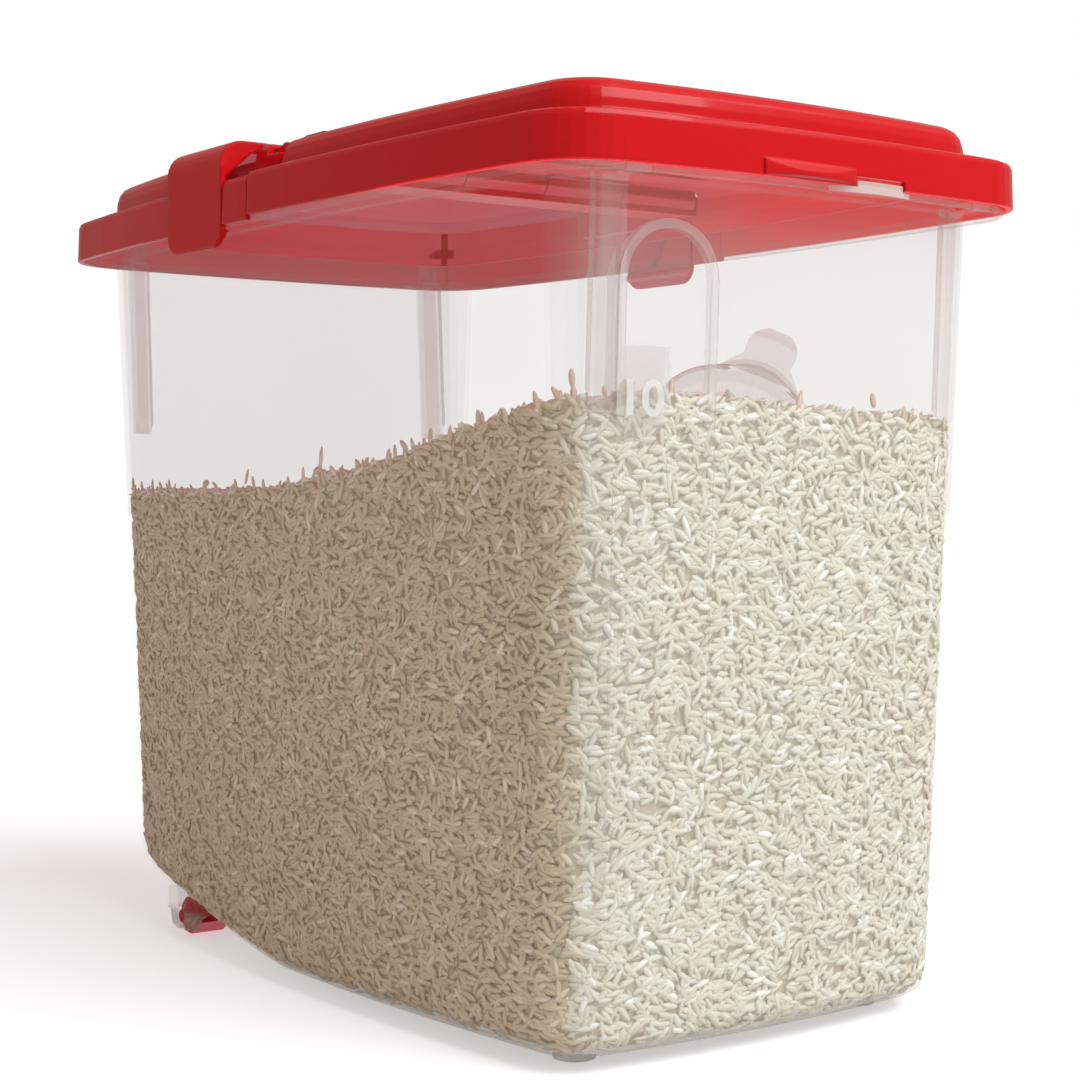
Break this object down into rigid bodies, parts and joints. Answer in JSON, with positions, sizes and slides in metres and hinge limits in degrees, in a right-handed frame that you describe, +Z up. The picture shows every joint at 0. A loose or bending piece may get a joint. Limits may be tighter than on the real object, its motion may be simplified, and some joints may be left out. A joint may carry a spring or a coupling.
{
  "type": "rice bin",
  "caption": "Tall translucent rice bin with a flip-up front lid, a rear lid held by side clips, rollers under the rear and a measuring cup lying in the rice.",
  "frame": {"origin": "middle of the footprint, on the ground", "axes": "+X to the right seen from the front, -Y towards the front with the gauge and the catch, +Z up"},
  "size_m": [0.2298, 0.3827, 0.3188],
  "materials": {
    "milky_plastic": "milky translucent, smooth",
    "red_plastic": "glossy red, smooth",
    "roller_plastic": "satin red",
    "clear_plastic": "clear to milky, smooth",
    "rice": "dry white rice, matt with a slight sheen"
  },
  "bodies": {
    "bin": {"bin_body": "milky_plastic", "rear_lid": "red_plastic", "rice_fill": "rice"},
    "flip_lid": {"front_lid": "red_plastic"},
    "clip_left": {"side_clip_left": "red_plastic"},
    "clip_right": {"side_clip_right": "red_plastic"},
    "wheel_left": {"roller_left": "roller_plastic"},
    "wheel_right": {"roller_right": "roller_plastic"},
    "cup": {"measuring_cup": "clear_plastic"}
  },
  "joints": [
    {"name": "lid_flip", "type": "hinge", "parent": "bin", "child": "flip_lid", "pos_m": [0, 0.0005, 0.31], "axis": [-1, 0, 0], "range_deg": [0, 105]},
    {"name": "clip_left_swing", "type": "hinge", "parent": "bin", "child": "clip_left", "pos_m": [-0.095, 0.0397, 0.3141], "axis": [0, 1, 0], "range_deg": [0, 95]},
    {"name": "clip_right_swing", "type": "hinge", "parent": "bin", "child": "clip_right", "pos_m": [0.095, 0.0397, 0.3141], "axis": [0, -1, 0], "range_deg": [0, 95]},
    {"name": "roller_left_spin", "type": "hinge", "parent": "bin", "child": "wheel_left", "pos_m": [-0.0737, 0.112, 0.0078], "axis": [1, 0, 0], "continuous": true},
    {"name": "roller_right_spin", "type": "hinge", "parent": "bin", "child": "wheel_right", "pos_m": [0.0737, 0.112, 0.0078], "axis": [1, 0, 0], "continuous": true},
    {"name": "cup_lift", "type": "slide", "parent": "bin", "child": "cup", "axis": [0, 0, 1], "range_m": [0, 0.05]}
  ]
}
